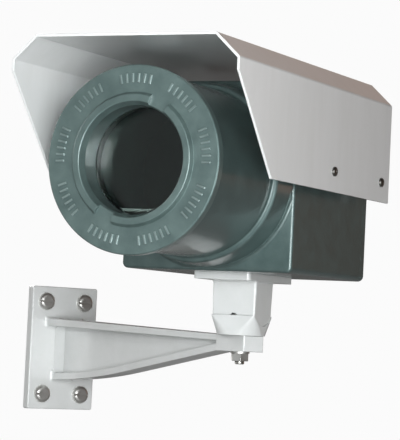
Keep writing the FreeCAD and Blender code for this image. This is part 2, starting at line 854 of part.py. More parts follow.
def clamp_nut():
    """The hexagon nut that shows under the arm."""
    piece = Piece("clamp_nut")
    seat = -d.boss_thickness - d.clamp_washer_thickness
    bottom = seat - d.clamp_nut_height
    nut = piece.drawing("plan", seat)
    nut.hexagon(d.clamp_nut_flats)
    piece.add(nut, d.clamp_nut_height, -1)
    # a cone takes the six corners off both ends
    half = d.clamp_nut_flats / 2
    corner = half * (2 / math.sqrt(3)) + d.cut_past
    for level_z, inward in ((seat, -1), (bottom, 1)):
        cone = piece.drawing("side")
        slope = (corner - half) / 2
        cone.outline([(half, level_z - inward), (half, level_z), (corner, level_z + inward * slope),
                      (corner, level_z - inward)])
        piece.turn_cut(cone, axis="V_Axis")
    drill(piece, "plan", seat, -1, [(0, 0)], d.bolt_radius + d.thread_fit, d.clamp_nut_height)
    return piece


def saddle_screws():
    """Four countersunk screws that hold the saddle's plate under the box."""
    piece = Piece("saddle_screws")
    seat = d.saddle_rise - d.saddle_plate_thickness
    heads = piece.drawing("plan", seat)
    shanks = piece.drawing("plan", seat)
    sockets = piece.drawing("plan", seat)
    for x, y in saddle_screws_at:
        heads.circle(d.sunk_head_radius, x, y)
        shanks.circle(d.small_screw_radius, x, y)
        sockets.hexagon(d.sunk_socket_flats, x, y)
    piece.add(heads, d.sunk_head_radius - d.small_screw_radius, 1, -d.sunk_head_angle)
    piece.add(shanks, d.saddle_plate_thickness + d.saddle_screw_bite, 1)
    piece.cut(sockets, d.sunk_socket_depth, 1)
    return piece


def housing_body():
    """The casting: round barrel and collar at the front, square box behind, open at both ends."""
    piece = Piece("housing_body")
    profile = piece.drawing("side")
    profile.outline([
        (barrel_start, bore_radius), (barrel_start, barrel_radius),
        (d.collar_start, barrel_radius), (d.collar_start, collar_front_radius - d.collar_bevel),
        (d.collar_start + d.collar_bevel, collar_front_radius),
        (d.box_start + d.box_wall / 2, collar_back_radius),
        (d.box_start + d.box_wall / 2, bore_radius)])
    piece.turn(profile)
    box = piece.drawing("front", d.box_start)
    box.rounded_box(d.box_half_width, d.box_half_height, d.box_corner_radius)
    piece.add(box, d.box_end - d.box_start, 1)
    piece.round_edges(
        d.box_front_edge_radius,
        lambda edge: level(edge, "y", d.box_start.number)
        and not (edge.Curve.TypeId == "Part::GeomCircle"
                 and edge.Curve.Radius > d.barrel_bore_gap.number + d.box_corner_radius.number))
    piece.round_edges(
        d.collar_root_fillet,
        lambda edge: level(edge, "y", d.collar_start.number)
        and abs(edge.BoundBox.ZMax - barrel_radius.number) < 0.1)
    # the opening behind, then the wider space inside, then the bore to the front
    opening_front = d.box_end - d.rear_flange_depth
    opening = piece.drawing("front", d.box_end)
    opening.rounded_box(rear_half_width, rear_half_height, d.box_corner_radius)
    piece.cut(opening, d.rear_flange_depth, -1)
    space = piece.drawing("front", opening_front)
    space.rounded_box(d.box_half_width - d.box_wall, floor_drop, d.box_corner_radius)
    piece.cut(space, opening_front - d.box_start - d.box_wall, -1)
    thread_end = barrel_start + d.barrel_thread_length
    bore = piece.drawing("side")
    mouth = barrel_start - d.cut_past
    inside = d.box_start + d.box_wall + d.cut_past
    bore.outline([
        (mouth, 0), (mouth, bore_radius), (thread_end, bore_radius),
        (thread_end, relief_radius), (inside, relief_radius), (inside, 0)])
    piece.turn_cut(bore)
    # a pad on the floor gives the saddle's screws their depth
    pad = piece.drawing("plan", -floor_drop - d.cut_past)
    pad.rounded_box(d.saddle_screw_spacing_x / 2 + d.floor_pad_margin,
                    d.saddle_screw_spacing_y / 2 + d.floor_pad_margin, d.saddle_plate_corner,
                    0, pan_axis_depth)
    piece.add(pad, d.floor_pad_height + d.cut_past, 1)
    drill(piece, "plan", -d.box_half_height, 1, floor_screws_at, small_tap,
          d.saddle_screw_bite + d.drill_extra)
    drill(piece, "front", d.box_end, -1, rear_screws_at, small_tap,
          d.rear_screw_length - d.rear_cover_thickness + d.small_head_height + d.drill_extra)
    drill(piece, "plan", -floor_drop, -1, posts_at, d.post_stud_radius + d.thread_fit,
          d.post_stud_length + d.drill_extra)
    drill(piece, "plan", -floor_drop, -1, board_posts_at, d.post_stud_radius + d.thread_fit,
          d.post_stud_length + d.drill_extra)
    for side in (-1, 1):
        drill(piece, "side", side * d.box_half_width, -side, shield_screws_at,
              d.shield_screw_radius + d.thread_fit, d.shield_screw_bite + d.drill_extra)
    return piece


def front_cover():
    """The round screw cover: rim, raised ring with spanner gaps, window bore and threaded spigot."""
    piece = Piece("front_cover")
    ring_seat = d.glass_seat_depth
    profile = piece.drawing("side")
    profile.outline([
        (0, ridge_base_radius), (0, cover_radius - d.cover_bevel),
        (d.cover_bevel, cover_radius), (d.cover_rim_thickness - d.cover_bevel, cover_radius),
        (d.cover_rim_thickness, cover_radius - d.cover_bevel),
        (d.cover_rim_thickness, spigot_radius), (spigot_end - d.cover_bevel, spigot_radius),
        (spigot_end, spigot_radius - d.cover_bevel), (spigot_end, window_ring_radius),
        (ring_seat, window_ring_radius), (ring_seat, window_radius),
        (d.window_lip_depth, window_radius), (-d.ridge_height, window_radius + d.window_lip_slope),
        (-d.ridge_height, ridge_base_radius - d.ridge_slope)])
    piece.turn(profile)
    piece.round_edges(d.ridge_round, lambda edge: level(edge, "y", -d.ridge_height.number))
    # two opposite gaps in the raised ring take a spanner bar
    inner = window_radius - d.cut_past
    outer = ridge_base_radius + d.cut_past
    for turn in (0, 180):
        start = d.ridge_gap_at - d.ridge_gap_angle / 2 + turn
        finish = d.ridge_gap_at + d.ridge_gap_angle / 2 + turn
        gap = piece.drawing("front", 0)
        gap.outline([
            (cosine(start) * inner, sine(start) * inner),
            (cosine(start) * outer, sine(start) * outer, outer),
            (cosine(finish) * outer, sine(finish) * outer),
            (cosine(finish) * inner, sine(finish) * inner, -inner)])
        piece.cut(gap, d.ridge_height + d.cut_past, -1)
    return piece


def window_glass():
    """The round safety glass behind the cover's lip."""
    piece = Piece("window_glass")
    disc = piece.drawing("front", glass_front)
    disc.circle(glass_radius)
    piece.add(disc, d.glass_thickness, 1)
    return piece


def window_gasket():
    """The flat rubber ring between the lip and the glass."""
    piece = Piece("window_gasket")
    ring = piece.drawing("front", d.glass_seat_depth)
    ring.circle(glass_radius)
    ring.circle(window_radius + d.gasket_setback)
    piece.add(ring, d.window_gasket_thickness, 1)
    return piece


def window_ring():
    """The threaded ring that clamps the glass, with four spanner holes."""
    piece = Piece("window_ring")
    ring = piece.drawing("front", glass_back)
    ring.circle(window_ring_radius - d.thread_fit)
    ring.circle(window_ring_bore)
    piece.add(ring, d.window_ring_thickness, 1)
    middle = (window_ring_radius + window_ring_bore) / 2
    drill(piece, "front", glass_back + d.window_ring_thickness, -1,
          [(middle, 0), (0, middle), (-middle, 0), (0, -middle)],
          d.ring_spanner_radius, d.window_ring_thickness / 2)
    return piece


def cover_seal():
    """The flat seal on the barrel's end, a hair off the rim that turns against it."""
    piece = Piece("cover_seal")
    ring = piece.drawing("front", d.cover_rim_thickness + d.thread_fit)
    inner = bore_radius + d.barrel_bore_gap
    ring.circle(inner + d.cover_seal_width)
    ring.circle(inner)
    piece.add(ring, d.cover_seal_thickness - d.thread_fit, 1)
    return piece


def rear_cover():
    """The bolted plate behind, with a spigot, a seal groove and two cable entries."""
    piece = Piece("rear_cover")
    plate = piece.drawing("front", d.box_end)
    plate.rounded_box(d.box_half_width, d.box_half_height, d.box_corner_radius)
    piece.add(plate, d.rear_cover_thickness, 1)
    piece.round_edges(d.rear_edge_radius, lambda edge: level(edge, "y", rear_face.number))
    half_width = rear_half_width - d.rear_spigot_gap
    half_height = rear_half_height - d.rear_spigot_gap
    spigot = piece.drawing("front", d.box_end)
    spigot.rounded_box(half_width, half_height, d.box_corner_radius)
    piece.add(spigot, d.rear_spigot_depth, -1)
    hollow = piece.drawing("front", d.box_end - d.rear_spigot_depth)
    hollow.rounded_box(half_width - d.rear_spigot_wall, half_height - d.rear_spigot_wall,
                       d.box_corner_radius)
    piece.cut(hollow, d.rear_spigot_depth, 1)
    groove = piece.drawing("front", d.box_end)
    seal_loop(groove, 0)
    piece.cut(groove, d.rear_seal_depth, 1)
    drill(piece, "front", rear_face, -1, rear_screws_at, d.small_head_radius + d.screw_hole_gap,
          d.small_head_height)
    drill(piece, "front", rear_face, -1, rear_screws_at, small_hole, d.rear_cover_thickness)
    drill(piece, "front", rear_face, -1, entries_at, d.entry_radius + d.thread_fit,
          d.rear_cover_thickness)
    drill(piece, "front", rear_face, -1, earth_at, d.earth_screw_radius + d.thread_fit,
          d.earth_screw_bite + d.drill_extra)
    return piece


def seal_loop(drawing, inset):
    """The two outlines of the square loop that seals the rear cover."""
    outer = seal_rim - inset
    inner = d.rear_seal_inset + inset
    drawing.rounded_box(rear_half_width + outer, rear_half_height + outer,
                        d.box_corner_radius + d.rear_seal_width - inset)
    drawing.rounded_box(rear_half_width + inner, rear_half_height + inner, d.box_corner_radius + inset)


def rear_seal():
    """The rubber loop in the rear cover's groove."""
    piece = Piece("rear_seal")
    loop = piece.drawing("front", d.box_end)
    seal_loop(loop, d.thread_fit)
    piece.add(loop, d.rear_seal_depth, 1)
    return piece


def rear_cover_screws():
    """Eight socket screws sunk into the rear cover."""
    piece = Piece("rear_cover_screws")
    add_screws(piece, "front", rear_face - d.small_head_height, 1, rear_screws_at,
               d.small_screw_radius, (d.small_head_radius, d.small_head_height),
               d.rear_screw_length, (d.small_socket_flats, d.small_socket_depth))
    return piece


def gland_body():
    """The cable gland's body: thread in the rear cover, hexagon and outer neck."""
    piece = Piece("gland_body")
    x, z = entries_at[0]
    thread = piece.drawing("front", d.box_end - d.entry_reach)
    thread.circle(d.entry_radius, x, z)
    piece.add(thread, d.rear_cover_thickness + d.entry_reach, 1)
    flats = piece.drawing("front", rear_face)
    flats.hexagon(d.gland_flats, x, z)
    piece.add(flats, d.gland_hex_height, 1)
    neck = piece.drawing("front", gland_neck_start)
    neck.circle(d.gland_neck_radius, x, z)
    piece.add(neck, d.gland_neck_length, 1)
    drill(piece, "front", gland_neck_start + d.gland_neck_length, -1, entries_at[:1],
          d.gland_bore_radius, d.gland_neck_length)
    drill(piece, "front", gland_neck_start, -1, entries_at[:1], d.cable_hole_radius,
          d.gland_hex_height + d.rear_cover_thickness + d.entry_reach)
    return piece


def gland_seal():
    """The rubber sleeve that the gland's nut squeezes round the cable."""
    piece = Piece("gland_seal")
    x, z = entries_at[0]
    sleeve = piece.drawing("front", gland_neck_start)
    sleeve.circle(d.gland_bore_radius - d.thread_fit, x, z)
    sleeve.circle(d.cable_hole_radius, x, z)
    piece.add(sleeve, gland_nut_inner, 1)
    return piece


def gland_nut():
    """The gland's clamping nut with its domed end."""
    piece = Piece("gland_nut")
    x, z = entries_at[0]
    start = gland_neck_start + d.gland_nut_start
    nut = piece.drawing("front", start)
    nut.hexagon(d.gland_nut_flats, x, z)
    piece.add(nut, d.gland_nut_length, 1)
    end = start + d.gland_nut_length
    piece.bevel_edges(d.gland_nut_wall / 2, lambda edge: level(edge, "y", end.number))
    drill(piece, "front", start, 1, entries_at[:1], d.gland_neck_radius + d.thread_fit,
          d.gland_nut_length - d.gland_nut_wall)
    drill(piece, "front", end, -1, entries_at[:1], d.cable_hole_radius + d.gland_mouth_gap,
          d.gland_nut_wall)
    return piece


def stopping_plug():
    """The plug in the cable entry that isn't used."""
    piece = Piece("stopping_plug")
    add_screws(piece, "front", rear_face, 1, entries_at[1:], d.entry_radius,
               (d.plug_head_radius, d.plug_head_height), d.rear_cover_thickness + d.entry_reach,
               (d.plug_socket_flats, d.plug_socket_depth))
    return piece


def earth_screw():
    """The outer earth terminal's screw."""
    piece = Piece("earth_screw")
    add_screws(piece, "front", rear_face, 1, earth_at, d.earth_screw_radius,
               (d.earth_head_radius, d.earth_head_height), d.earth_screw_bite)
    return piece


def sun_shield():
    """The folded sheet over the housing: top, sloping shoulders and slant-cut sides."""
    piece = Piece("sun_shield")
    hood = piece.drawing("front", -d.shield_overhang)
    side, half = shield_half_width, shield_half_width - d.shoulder_width
    shoulder = shield_top - d.shoulder_drop
    hood.outline([
        (-side, -d.shield_skirt_drop), (side, -d.shield_skirt_drop), (side, shoulder),
        (half, shield_top), (-half, shield_top), (-side, shoulder)])
    piece.add(hood, d.box_end + d.shield_rear_reach + d.shield_overhang, 1)
    piece.round_edges(
        d.shield_fold_radius,
        lambda edge: runs_along(edge, "y") and edge.BoundBox.ZMin > 0)
    doc.recompute()
    solid = piece.body.Tip
    open_faces = [
        f"Face{n}" for n, face in enumerate(solid.Shape.Faces, start=1)
        if abs(face.normalAt(0, 0).y) > 0.99 or face.BoundBox.ZMax < 0]
    shell = piece.body.newObject("PartDesign::Thickness", "Thickness")
    shell.Base = (solid, open_faces)
    shell.setExpression("Value", d.shield_thickness.formula)
    shell.Reversed = True
    slant = piece.drawing("side")
    before = -d.shield_overhang - d.cut_past
    brow = shield_top - d.shield_brow_drop
    slant.outline([
        (before, brow), (-d.shield_overhang, brow),
        (d.shield_skirt_start, -d.shield_skirt_drop),
        (d.shield_skirt_start, -d.shield_skirt_drop - d.cut_past),
        (before, -d.shield_skirt_drop - d.cut_past)])
    piece.cut_both_ways(slant, (shield_half_width + d.cut_past) * 2)
    for turn in (-1, 1):
        drill(piece, "side", turn * shield_half_width, -turn, shield_screws_at,
              d.shield_screw_radius + d.screw_hole_gap, d.shield_thickness)
    return piece


def shield_spacers():
    """Four tubes that hold the sunshield off the box."""
    piece = Piece("shield_spacers")
    for turn in (-1, 1):
        tubes = piece.drawing("side", turn * d.box_half_width)
        for y, z in shield_screws_at:
            tubes.circle(d.spacer_radius, y, z)
            tubes.circle(d.shield_screw_radius + d.screw_hole_gap, y, z)
        piece.add(tubes, d.shield_side_gap - d.shield_thickness, turn)
    return piece


def shield_screws():
    """Four screws through the sunshield and its spacers into the box."""
    piece = Piece("shield_screws")
    for turn in (-1, 1):
        add_screws(piece, "side", turn * shield_half_width, turn, shield_screws_at,
                   d.shield_screw_radius, (d.shield_head_radius, d.shield_head_height),
                   d.shield_side_gap + d.shield_screw_bite)
    return piece


def camera_sled():
    """The plate that carries the camera, slid in from behind, with its long camera slot."""
    piece = Piece("camera_sled")
    plate = piece.drawing("plan", sled_under)
    length = sled_end - sled_start
    plate.rounded_box(sled_half_width, length / 2, d.sled_corner_radius, 0, sled_start + length / 2)
    piece.add(plate, d.sled_thickness, 1)
    slot = piece.drawing("plan", sled_under)
    slot.box(-d.camera_slot_half_width, d.camera_slot_start, d.camera_slot_half_width, d.camera_slot_end)
    piece.cut(slot, d.sled_thickness, 1)
    drill(piece, "plan", sled_under, 1, [(0, d.camera_slot_start), (0, d.camera_slot_end)],
          d.camera_slot_half_width, d.sled_thickness)
    drill(piece, "plan", sled_under, 1, posts_at, d.post_screw_radius + d.screw_hole_gap,
          d.sled_thickness)
    return piece


def sled_strips():
    """Two rubber strips beside the camera slot, on which the camera stands."""
    piece = Piece("sled_strips")
    strips = piece.drawing("plan", -d.sled_top_drop)
    for side in (-1, 1):
        middle = side * (d.strip_inner_side + d.strip_width / 2)
        strips.box(middle - d.strip_width / 2, d.strip_start,
                   middle + d.strip_width / 2, d.strip_start + d.strip_length)
    piece.add(strips, d.strip_thickness, 1)
    return piece


def sled_posts():
    """Four posts that stand in the box's floor and carry the sled."""
    piece = Piece("sled_posts")
    height = floor_drop + sled_under
    add_screws(piece, "plan", -floor_drop, 1, posts_at, d.post_stud_radius,
               (d.post_radius, height), d.post_stud_length)
    drill(piece, "plan", sled_under, -1, posts_at, d.post_screw_radius + d.thread_fit,
          d.post_screw_bite + d.drill_extra)
    return piece


def sled_screws():
    """Four screws from the sled into its posts."""
    piece = Piece("sled_screws")
    add_screws(piece, "plan", -d.sled_top_drop, 1, posts_at, d.post_screw_radius,
               (d.post_head_radius, d.post_head_height), d.sled_thickness + d.post_screw_bite)
    return piece


def camera_screw():
    """The knob-headed screw that would hold a camera on the sled."""
    piece = Piece("camera_screw")
    add_screws(piece, "plan", sled_under, -1, [(0, d.camera_screw_at)], d.camera_screw_radius,
               (d.camera_knob_radius, d.camera_knob_height), d.sled_thickness + d.camera_screw_rise)
    return piece


def circuit_board():
    """The power board under the sled, with its transformer block."""
    piece = Piece("circuit_board")
    board = piece.drawing("plan", board_under)
    board.rounded_box(d.board_half_width, d.board_length / 2, d.board_corner_radius, 0, board_middle)
    piece.add(board, d.board_thickness, 1)
    half = d.transformer_half_size
    block = piece.drawing("plan", board_under + d.board_thickness)
    block.box(-half, board_middle - half, half, board_middle + half)
    piece.add(block, d.transformer_height, 1)
    drill(piece, "plan", board_under, 1, board_posts_at, d.board_screw_radius + d.screw_hole_gap,
          d.board_thickness)
    return piece


def board_posts():
    """Four short posts between the floor and the power board."""
    piece = Piece("board_posts")
    add_screws(piece, "plan", -floor_drop, 1, board_posts_at, d.post_stud_radius,
               (d.board_post_radius, d.board_lift), d.post_stud_length)
    drill(piece, "plan", board_under, -1, board_posts_at, d.board_screw_radius + d.thread_fit,
          d.board_screw_bite + d.drill_extra)
    return piece


def board_screws():
    """Four screws from the power board into its posts."""
    piece = Piece("board_screws")
    add_screws(piece, "plan", board_under + d.board_thickness, 1, board_posts_at,
               d.board_screw_radius, (d.board_head_radius, d.board_head_height),
               d.board_thickness + d.board_screw_bite)
    return piece


def terminal_block():
    """The terminal strip on the sled's rear end: wires enter from behind, screws from above."""
    piece = Piece("terminal_block")
    half = sled_half_width - d.terminal_side_gap
    start = sled_end - d.terminal_setback
    block = piece.drawing("front", start)
    block.box(-half, -d.sled_top_drop, half, d.terminal_height - d.sled_top_drop)
    piece.add(block, d.terminal_depth, 1)
    count = DIMENSIONS["terminal_count"]
    pitch = half * 2 / count
    wires = []
    screws = []
    for number in range(count):
        x = pitch * (number + 0.5) - half
        wires.append((x, d.terminal_height / 3 - d.sled_top_drop))
        screws.append((x, start + d.terminal_depth / 2))
    drill(piece, "front", start + d.terminal_depth, -1, wires, d.terminal_hole_radius,
          d.terminal_depth / 2)
    drill(piece, "plan", d.terminal_height - d.sled_top_drop, -1, screws, d.terminal_hole_radius,
          d.terminal_height / 4)
    return piece


def heater():
    """The finned heater on the sled that keeps the window clear."""
    piece = Piece("heater")
    right = sled_half_width - d.post_edge - d.post_head_radius - d.heater_post_gap
    left = right - d.heater_half_width * 2
    start = d.box_start + d.heater_front_gap
    block = piece.drawing("plan", -d.sled_top_drop)
    block.box(left, start, right, start + d.heater_length)
    piece.add(block, d.heater_height, 1)
    count = DIMENSIONS["heater_fin_count"]
    pitch = d.heater_half_width * 2 / count
    gaps = piece.drawing("front", start)
    top = d.heater_height - d.sled_top_drop
    for number in range(1, count):
        x = left + pitch * number
        gaps.box(x - d.heater_fin_gap / 2, top - d.heater_height / 2, x + d.heater_fin_gap / 2, top)
    piece.cut(gaps, d.heater_length, 1)
    return piece


WALL_PIECES = (wall_bracket, wall_screws)
HEAD_PIECES = (swivel_base, clamp_washer, clamp_nut)
TILT_PIECES = (clamp_bolt, cradle_washer, tilt_saddle, saddle_screws)
HOUSING_PIECES = (
    housing_body, front_cover, cover_seal, window_glass, window_gasket, window_ring,
    rear_cover, rear_seal, rear_cover_screws, gland_body, gland_seal, gland_nut,
    stopping_plug, earth_screw, sun_shield, shield_spacers, shield_screws,
    camera_sled, sled_strips, sled_posts, sled_screws, camera_screw, circuit_board,
    board_posts, board_screws, terminal_block, heater)


def build():
    """Make every piece and set it in its place."""
    turn = -d.rest_turn.number
    axis_back = FreeCAD.Rotation(FreeCAD.Vector(0, 0, 1), turn).multVec(
        FreeCAD.Vector(0, pan_axis_depth.number, 0))
    pan_axis = FreeCAD.Vector(0, -d.pan_reach.number, 0)
    up = FreeCAD.Vector(0, 0, 1)
    groups = (
        (WALL_PIECES, FreeCAD.Vector(0, 0, 0), 0),
        (HEAD_PIECES, pan_axis + up * d.boss_top.number, turn),
        (TILT_PIECES, pan_axis + up * tilt_height.number, turn),
        (HOUSING_PIECES, pan_axis - axis_back + up * housing_height.number, turn))
    for makers, position, angle in groups:
        for make in makers:
            piece = make()
            piece.place(position, angle)
    doc.recompute()


def check():
    """Stop if any object failed or any piece isn't a sound solid."""
    faults = []
    for thing in doc.Objects:
        if "Invalid" in thing.State or "Error" in thing.State:
            owner = thing.getParentGeoFeatureGroup()
            faults.append(f"{thing.Label} in {owner.Label if owner else 'the document'}")
    for piece in Piece.every:
        shape = piece.body.Shape
        if shape.isNull() or not shape.isValid() or not shape.Solids:
            faults.append(piece.name)
    if faults:
        raise RuntimeError("unsound: " + ", ".join(faults))


def write():
    """Write each piece to its own file."""
    os.makedirs("parts", exist_ok=True)
    for piece in Piece.every:
        piece.body.Shape.exportStep(f"parts/{piece.name}.step")
        shape = piece.body.Shape
        print(piece.name, len(shape.Solids), "solids", round(shape.Volume), "mm3")


build()
check()
write()
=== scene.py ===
import json
import math

import bpy
from mathutils import Matrix, Vector


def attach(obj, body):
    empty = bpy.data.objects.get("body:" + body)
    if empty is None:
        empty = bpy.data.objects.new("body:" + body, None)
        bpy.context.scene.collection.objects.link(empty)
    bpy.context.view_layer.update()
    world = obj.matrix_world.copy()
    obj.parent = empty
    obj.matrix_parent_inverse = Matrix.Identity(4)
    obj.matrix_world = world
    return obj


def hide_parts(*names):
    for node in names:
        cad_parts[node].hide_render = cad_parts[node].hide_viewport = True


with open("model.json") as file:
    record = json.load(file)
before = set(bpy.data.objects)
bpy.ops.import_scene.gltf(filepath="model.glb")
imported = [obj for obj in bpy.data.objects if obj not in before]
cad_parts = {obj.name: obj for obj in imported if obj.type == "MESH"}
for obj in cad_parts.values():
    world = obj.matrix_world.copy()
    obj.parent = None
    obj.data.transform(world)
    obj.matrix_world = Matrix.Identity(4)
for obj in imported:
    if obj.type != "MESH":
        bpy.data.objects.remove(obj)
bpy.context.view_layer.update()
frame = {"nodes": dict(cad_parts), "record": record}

# Everything is in metres, in the part's own frame: the wall is the plane y = 0, +Z is up.
# Drawing sizes are in millimetres and pass through MM.
MM = 0.001

# The housing's own frame: y runs back along the window's axis from the cover's face
PAN_REACH = 366
REST_TURN = -60
PAN_DEPTH = 268
WINDOW_HEIGHT = 184.7
HOUSING_PLACE = (
    Matrix.Translation((0, -PAN_REACH * MM, WINDOW_HEIGHT * MM))
    @ Matrix.Rotation(math.radians(REST_TURN), 4, "Z")
    @ Matrix.Translation((0, -PAN_DEPTH * MM, 0)))

# What the lathe leaves bare, as radii and depths from the cover's face
COVER_TURNED = [((54, 77), (10.1, 60)), ((0, 60), (25.1, 60))]
BARREL_TURNED = [((74, 77), (11, 46.2)), ((75, 90), (11, 11.7))]

# A wave texture runs through this many radians to the unit, and one wave is 2 pi of them. A
# thread's scale leaves the 2 pi out, which draws it about six times as coarse as it is, because
# the real pitch is too fine to show.
WAVE_RADIANS = 20
COVER_THREAD_PITCH = 3
BOLT_THREAD_PITCH = 1.5

# The photograph's camera, fitted to the housing's outlines: its place in metres, the way it
# looks, its roll in degrees, its lens and sensor in millimetres, and how far it sees in metres
CAMERA_PLACE = (-1.3432, -2.2266, 0.0239)
CAMERA_LOOK = (0.5673, 0.8218, 0.0521)
CAMERA_ROLL = 2.8
CAMERA_LENS = 179.45
SENSOR_WIDTH = 36
FARTHEST_SEEN = 50

# The studio: the floor lies under the part, and every light points at the part's middle
FLOOR_SIZE = 20
FLOOR_PLACE = (0, -0.2, -0.9)
LIGHT_AIM = (-0.05, -0.3, 0.1)

# Each light's name, place, width and height in metres, watts and colour
LIGHTS = [
    # beside the camera: a tall key, and wide wings that draw its crescent out round the bore
    ("key", (-1.0, -1.72, 0.03), (0.24, 0.8), 15, "#fbfdff"),
    ("key_wings", (-1.16, -1.64, 0.1), (0.9, 1.4), 9, "#fbfdff"),
    # a dim card that the window and the barrel's far side reflect
    ("left_card", (-2.9, -0.6, 0.3), (2.2, 2.2), 3.6, "#eefcff"),
    # straight in front, for the faces that look out from the wall
    ("front_fill", (-0.68, -2.72, 0.0), (1.1, 1.1), 22, "#fbfdff"),
    # warm and weak at the right, for the side of the box and of the sunshield
    ("right_strip", (2.74, -0.7, 0.41), (0.5, 1.2), 1.6, "#ffccb2"),
    ("right_rear", (2.1, 1.35, 1.3), (1.2, 1.2), 1.3, "#ffdcc8"),
    # behind, for the views from the sides and from the back
    ("rear_low", (0.7, 2.9, -0.1), (1.2, 1.2), 18, "#ffffff"),
    ("rear_left", (-2.0, 1.8, 1.3), (1.5, 1.5), 30, "#ffffff"),
    ("rear_box", (0.4, 2.6, 1.5), (1.5, 1.5), 42, "#ffffff"),
]


def linear(code):
    """An sRGB hex colour as linear red, green, blue and alpha."""
    channels = [int(code[start:start + 2], 16) / 255 for start in (1, 3, 5)]
    return [c / 12.92 if c <= 0.04045 else ((c + 0.055) / 1.055) ** 2.4 for c in channels] + [1]


def per(size):
    """The scale of a pattern whose features are this many millimetres apart."""
    return 1 / (size * MM)


def wire(tree, node, inputs):
    """Give a node's inputs their links or constants."""
    for name, value in inputs.items():
        if isinstance(value, bpy.types.NodeSocket):
            tree.links.new(value, node.inputs[name])
        else:
            node.inputs[name].default_value = value


def add_node(tree, kind, inputs=None, stops=(), **settings):
    """One shader node: its settings, its inputs, and a ramp's stops as places and colours."""
    node = tree.nodes.new("ShaderNode" + kind)
    for name, value in settings.items():
        setattr(node, name, value)
    wire(tree, node, inputs or {})
    for number, (position, code) in enumerate(stops):
        node.color_ramp.elements[number].position = position
        node.color_ramp.elements[number].color = linear(code)
    return node


def new_material(name):
    """An empty material: its node tree, its Principled shader, and the place on the part."""
    material = bpy.data.materials.new(name)
    material.use_nodes = True
    tree = material.node_tree
    tree.nodes.clear()
    shader = add_node(tree, "BsdfPrincipled")
    add_node(tree, "OutputMaterial", {"Surface": shader.outputs["BSDF"]})
    place = add_node(tree, "TexCoord").outputs["Object"]
    return material, tree, shader, place


def turned_zone(tree, place, zones):
    """1 on what a lathe left bare and 0 on paint, and the place in the housing's own frame.

    Each zone is (radii, depths) about the housing's axis, as (low, high) in millimetres.
    """
    inwards = HOUSING_PLACE.inverted()
    local = add_node(tree, "Mapping", {
        "Vector": place, "Location": inwards.translation,
        "Rotation": inwards.to_euler()}).outputs["Vector"]
    across = add_node(
        tree, "VectorMath", {0: local, 1: (1, 0, 1)}, operation="MULTIPLY").outputs["Vector"]
    radius = add_node(tree, "VectorMath", {0: across}, operation="LENGTH").outputs["Value"]
    depth = add_node(tree, "SeparateXYZ", {"Vector": local}).outputs["Y"]
    bare = 0
    for zone in zones:
        inside = [
            add_node(tree, "Math", {
                0: value, 1: (low + high) / 2 * MM, 2: (high - low) / 2 * MM},
                operation="COMPARE").outputs[0]
            for value, (low, high) in zip((radius, depth), zone)]
        both = add_node(
            tree, "Math", {0: inside[0], 1: inside[1]}, operation="MULTIPLY").outputs[0]
        bare = add_node(tree, "Math", {0: bare, 1: both}, operation="MAXIMUM").outputs[0]
    return bare, local


def painted_casting(name, plain, light, painted_corner_light, patch, grain, relief, roughness, edge, flake,
                    turned=()):
    """Stoved enamel over a sand casting, with more or less aluminium flake in it.

    The eye gets a soft mottle where the paint's thickness changes, the sand's grain as a
    low swell under the gloss, bright rounded edges, and painted light in the inner corners:
    painted shade where the corner colour is darker than the paint, a painted highlight where
    it is lighter.
    makes the faces that look at the light bright and the ones that turn away dark.
    Turned zones are masked off before painting: bare aluminium with the lathe's grooves.
    """
    corner_reach, most_painted_corner_light = 5, 0.45
    bare_colour, bare_roughness, groove_depth = "#c3c6c7", 0.24, 0.25
    material, tree, shader, place = new_material(name)
    mottle = add_node(tree, "TexNoise", {
        "Vector": place, "Scale": per(patch), "Detail": 4, "Roughness": 0.6}).outputs["Fac"]
    paint = add_node(tree, "ValToRGB", {"Fac": mottle}, stops=((0.3, plain), (0.75, light)))
    # painted light: ambient occlusion gives the inner corners the corner colour, as painted shade
    # or, where that colour is lighter, as a painted highlight
    corner = add_node(tree, "AmbientOcclusion", {"Distance": corner_reach * MM}, samples=4)
    painted_corner_mask = add_node(tree, "MapRange", {
        "Value": corner.outputs["AO"], "From Min": 0.25, "From Max": 0.8,
        "To Min": most_painted_corner_light, "To Max": 0})
    colour = add_node(tree, "Mix", {
        "Factor": painted_corner_mask.outputs["Result"], "A": paint.outputs["Color"], "B": linear(painted_corner_light)},
        data_type="RGBA").outputs["Result"]
    gloss = add_node(tree, "MapRange", {
        "Value": mottle, "From Min": 0.3, "From Max": 0.7,
        "To Min": roughness - 0.06, "To Max": roughness + 0.08}).outputs["Result"]
    rounded = add_node(tree, "Bevel", {"Radius": edge * MM}, samples=4)
    sand = add_node(tree, "TexNoise", {
        "Vector": place, "Scale": per(grain), "Detail": 3, "Roughness": 0.55})
    swell = add_node(tree, "Bump", {
        "Height": sand.outputs["Fac"], "Strength": 1, "Distance": relief * MM,
        "Normal": rounded.outputs["Normal"]}).outputs["Normal"]
    metallic, coat = flake, 1
    if turned:
        bare, local = turned_zone(tree, place, turned)
        colour = add_node(
            tree, "Mix", {"Factor": bare, "A": colour, "B": linear(bare_colour)},
            data_type="RGBA").outputs["Result"]
        gloss = add_node(tree, "Mix", {"Factor": bare, 2: gloss, 3: bare_roughness}).outputs[0]
        grooves = add_node(tree, "TexWave", {
            "Vector": local, "Scale": per(COVER_THREAD_PITCH) / WAVE_RADIANS},
            bands_direction="Y", wave_profile="TRI")
        swell = add_node(tree, "Bump", {
            "Height": grooves.outputs["Fac"], "Strength": bare, "Distance": groove_depth * MM,
            "Normal": swell}).outputs["Normal"]
        metallic = add_node(
            tree, "MapRange", {"Value": bare, "To Min": flake, "To Max": 1}).outputs["Result"]
        coat = add_node(
            tree, "MapRange", {"Value": bare, "To Min": 1, "To Max": 0}).outputs["Result"]
    wire(tree, shader, {
        "Base Color": colour, "Metallic": metallic, "Roughness": gloss, "Normal": swell,
        "IOR": 1.5, "Coat Weight": coat, "Coat Roughness": 0.2})
    return material


